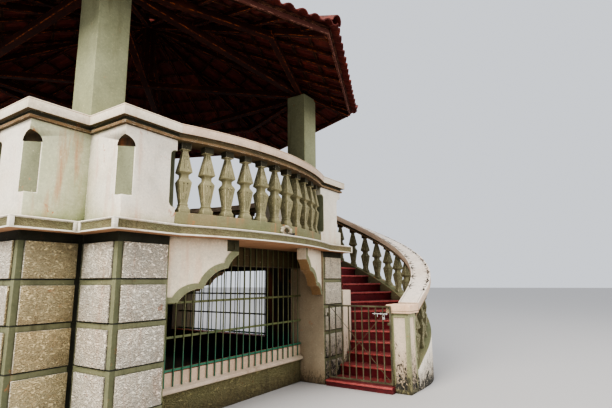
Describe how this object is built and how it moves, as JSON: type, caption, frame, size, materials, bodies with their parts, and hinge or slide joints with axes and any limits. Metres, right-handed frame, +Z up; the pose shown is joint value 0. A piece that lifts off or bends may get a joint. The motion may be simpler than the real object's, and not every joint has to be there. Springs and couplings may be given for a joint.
{
  "type": "bandstand",
  "caption": "Masonry bandstand: raised platform on notched piers over a grilled room, curved balustrades, winding corner stair with a gate, and an eight-sided tiled roof on timbers.",
  "frame": {"origin": "on the ground at the centre of the square plan", "axes": "+X to the side with the stair's landing, -Y to the front with the gate, +Z up"},
  "size_m": [8.558, 8.5583, 6.9114],
  "materials": {
    "lime_paint": "old lime paint on render, flaking and stained",
    "green_paint": "matt grey-green paint on render, peeling",
    "roughcast": "pale roughcast, stained",
    "plinth_paint": "dark green painted roughcast",
    "floor_screed": "worn screed",
    "red_paint": "red floor paint, worn at the edges",
    "timber": "old brown-red stain",
    "clay_tile": "unglazed fired clay, weathered",
    "grille_iron": "green paint, chipped",
    "gate_iron": "grey-green paint with rust"
  },
  "bodies": {
    "bandstand": {"balusters": "green_paint", "balustrade_curbs": "green_paint", "bay_wall_back": "plinth_paint", "bay_wall_front": "plinth_paint", "bay_wall_left": "plinth_paint", "bay_wall_right": "plinth_paint", "brackets": "lime_paint", "columns": "green_paint", "coping_back_left": "lime_paint", "coping_back_right": "lime_paint", "coping_front_left": "lime_paint", "coping_front_right": "lime_paint", "cross_ties": "timber", "eave_fascia": "timber", "gate_hinges": "gate_iron", "grilles": "grille_iron", "ground_floor": "floor_screed", "hip_rafters": "timber", "hip_tiles": "clay_tile", "king_post": "timber", "landing_post": "lime_paint", "newel": "green_paint", "outer_purlins": "timber", "parapet_back_left": "lime_paint", "parapet_back_right": "lime_paint", "parapet_front_left": "lime_paint", "parapet_front_right": "lime_paint", "pier_back_left": "green_paint", "pier_back_right": "green_paint", "pier_blocks": "roughcast", "pier_front_left": "green_paint", "pier_front_right": "green_paint", "platform": "lime_paint", "rafters": "timber", "rail_back": "lime_paint", "rail_front": "lime_paint", "rail_left": "lime_paint", "rail_right": "lime_paint", "ring_beams": "timber", "roof_crown": "clay_tile", "roof_tiles": "clay_tile", "stair_balusters": "green_paint", "stair_core": "green_paint", "stair_landing": "red_paint", "stair_rail": "lime_paint", "stair_steps": "red_paint", "stair_wall": "lime_paint"},
    "gate": {"gate_leaf": "gate_iron"}
  },
  "joints": [
    {"name": "gate_hinge", "type": "hinge", "parent": "bandstand", "child": "gate", "pos_m": [1.64, -2.942, 0.7], "axis": [0, 0, -1], "range_deg": [0, 95]}
  ]
}
